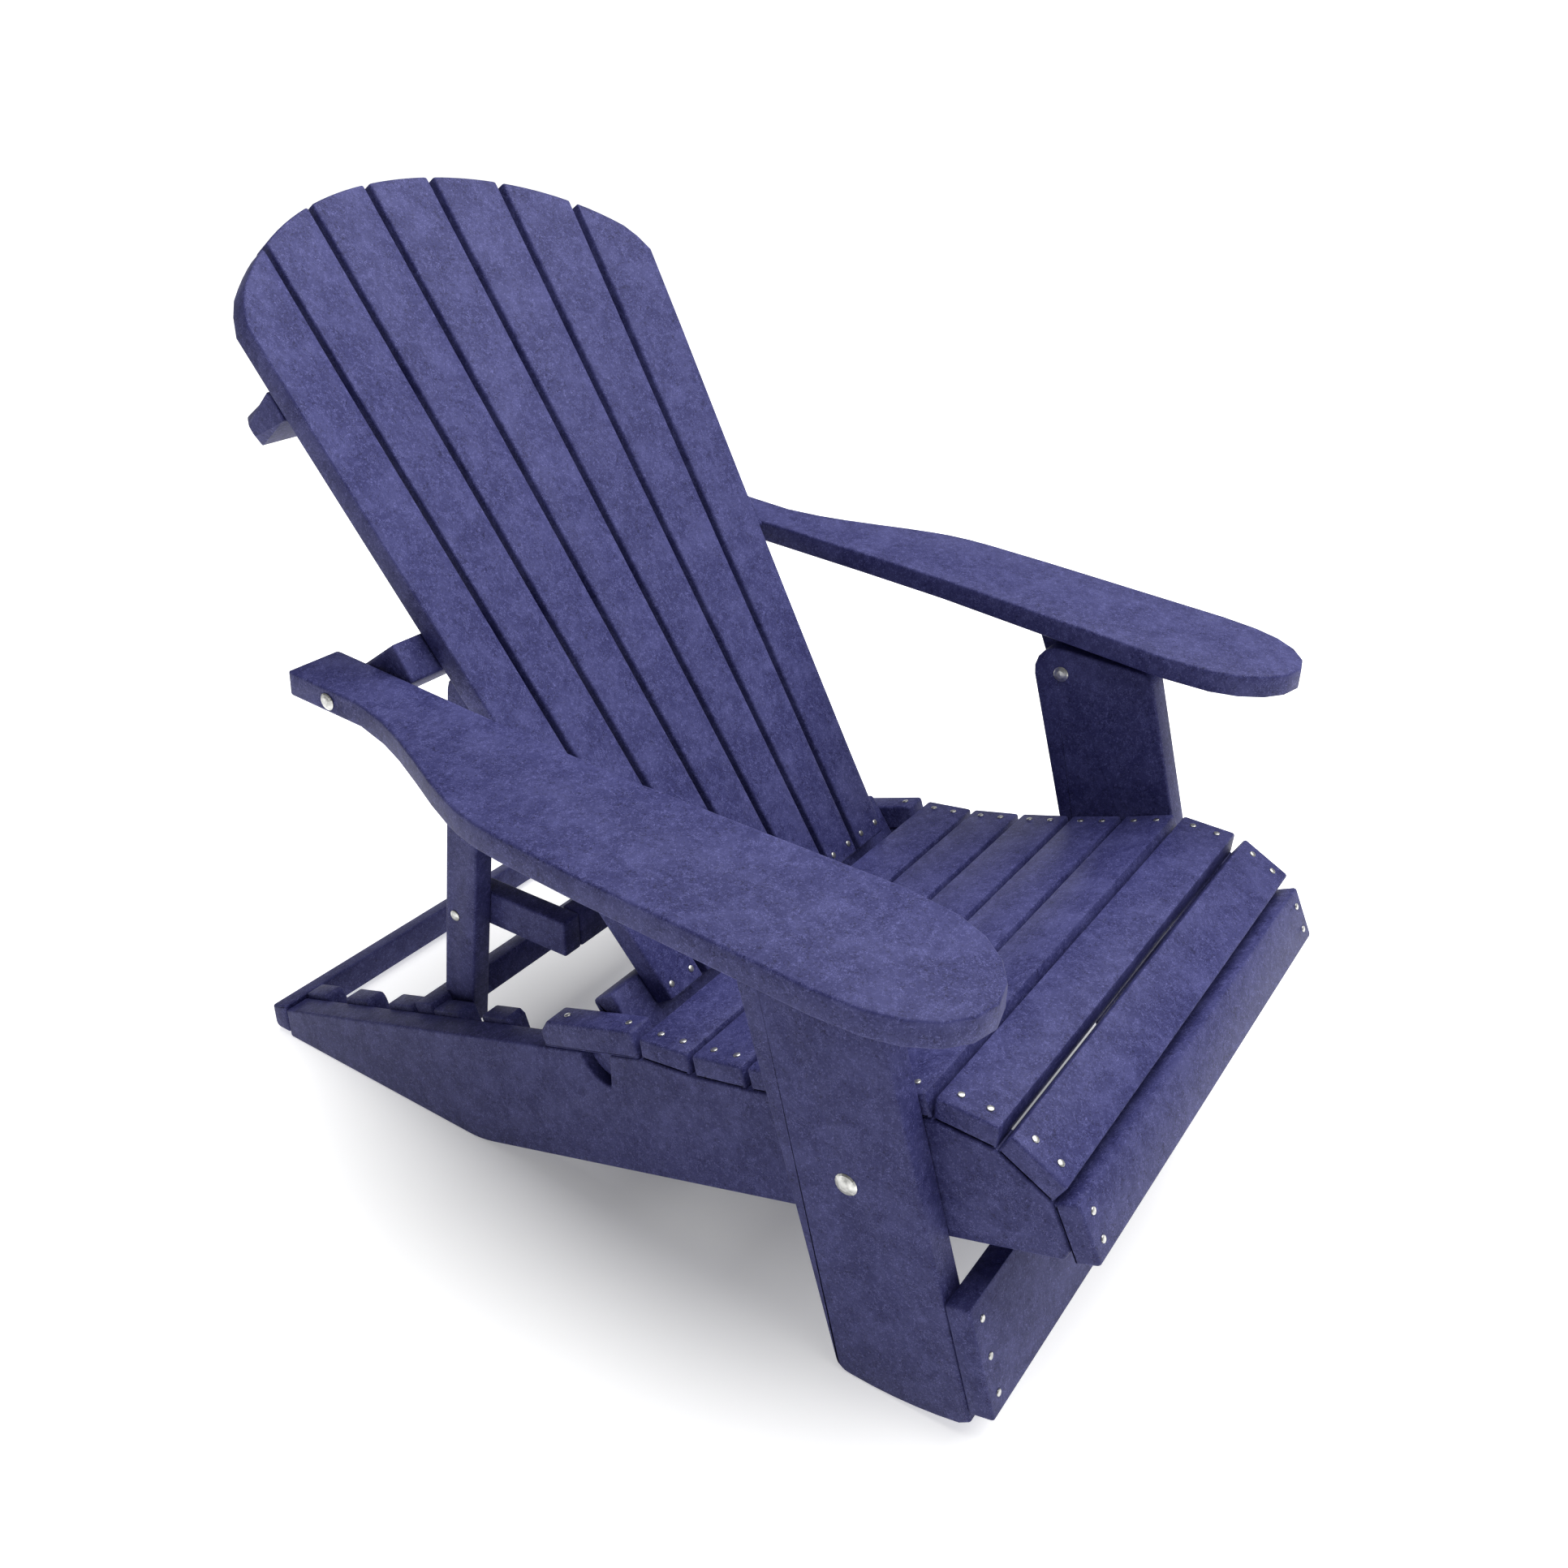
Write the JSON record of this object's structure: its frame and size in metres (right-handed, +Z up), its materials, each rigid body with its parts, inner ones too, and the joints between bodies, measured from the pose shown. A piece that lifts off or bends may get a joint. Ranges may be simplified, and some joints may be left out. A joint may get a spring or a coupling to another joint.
{
  "type": "reclining adirondack chair",
  "caption": "Garden armchair with a fanned slatted back, sloping contoured seat, wide arms and a prop frame that stands in toothed racks to set the recline",
  "frame": {"origin": "centre of the chair's footprint box, on the floor", "axes": "+X is across the chair to the sitter's left, -Y is the way the sitter faces, +Z is up"},
  "size_m": [0.862, 1.065, 0.9622],
  "materials": {
    "poly_lumber": "moulded recycled-plastic board, fine fibre flecks",
    "stainless_steel": "plain domed bolt heads"
  },
  "bodies": {
    "seat_frame": {"hinge_cap_left": "poly_lumber", "hinge_cap_right": "poly_lumber", "leg_pivot_bolt_left": "stainless_steel", "leg_pivot_bolt_right": "stainless_steel", "rack_left": "poly_lumber", "rack_right": "poly_lumber", "rear_stretcher": "poly_lumber", "seat_slat_1": "poly_lumber", "seat_slat_2": "poly_lumber", "seat_slat_3": "poly_lumber", "seat_slat_4": "poly_lumber", "seat_slat_5": "poly_lumber", "seat_slat_6": "poly_lumber", "seat_slat_7": "poly_lumber", "seat_slat_8": "poly_lumber", "side_rail_left": "poly_lumber", "side_rail_right": "poly_lumber"},
    "backrest": {"arm_crossbar": "poly_lumber", "arm_pivot_bolt_left": "stainless_steel", "arm_pivot_bolt_right": "stainless_steel", "back_slat_1": "poly_lumber", "back_slat_2": "poly_lumber", "back_slat_3": "poly_lumber", "back_slat_4": "poly_lumber", "back_slat_5": "poly_lumber", "back_slat_6": "poly_lumber", "back_slat_7": "poly_lumber", "pivot_batten": "poly_lumber", "prop_hanger_left": "poly_lumber", "prop_hanger_right": "poly_lumber", "prop_pivot_bolt_left": "stainless_steel", "prop_pivot_bolt_right": "stainless_steel", "upper_batten": "poly_lumber"},
    "arm_right": {"arm_board_right": "poly_lumber", "arm_cleat_right": "poly_lumber"},
    "arm_left": {"arm_board_left": "poly_lumber", "arm_cleat_left": "poly_lumber"},
    "front_legs": {"front_leg_left": "poly_lumber", "front_leg_right": "poly_lumber", "front_stretcher": "poly_lumber", "leg_top_bolt_left": "stainless_steel", "leg_top_bolt_right": "stainless_steel"},
    "prop_frame": {"brace_bolt_left": "stainless_steel", "brace_bolt_right": "stainless_steel", "foot_bar": "poly_lumber", "prop_brace_left": "poly_lumber", "prop_brace_right": "poly_lumber", "prop_crossbar": "poly_lumber", "prop_post_left": "poly_lumber", "prop_post_right": "poly_lumber"}
  },
  "joints": [
    {"name": "back_recline", "type": "hinge", "parent": "seat_frame", "child": "backrest", "pos_m": [0, -0.01735, 0.2133], "axis": [1, 0, 0], "range_deg": [0, 9.1]},
    {"name": "arm_swing_right", "type": "hinge", "parent": "backrest", "child": "arm_right", "pos_m": [-0.32, 0.24465, 0.5534], "axis": [1, 0, 0], "range_deg": [-7, 0]},
    {"name": "arm_swing_left", "type": "hinge", "parent": "backrest", "child": "arm_left", "pos_m": [0.32, 0.24465, 0.5534], "axis": [1, 0, 0], "range_deg": [-7, 0]},
    {"name": "leg_swing", "type": "hinge", "parent": "seat_frame", "child": "front_legs", "pos_m": [0, -0.31295, 0.2321], "axis": [1, 0, 0], "range_deg": [0, 13]},
    {"name": "prop_swing", "type": "hinge", "parent": "backrest", "child": "prop_frame", "pos_m": [0, 0.20384, 0.52002], "axis": [1, 0, 0], "range_deg": [0, 2]}
  ],
  "couplings": [
    {"joint": "arm_swing_right", "follows": "back_recline", "ratio": -0.7131},
    {"joint": "arm_swing_left", "follows": "back_recline", "ratio": -0.7131},
    {"joint": "leg_swing", "follows": "back_recline", "ratio": 1.3625},
    {"joint": "prop_swing", "follows": "back_recline", "ratio": 0.2}
  ]
}
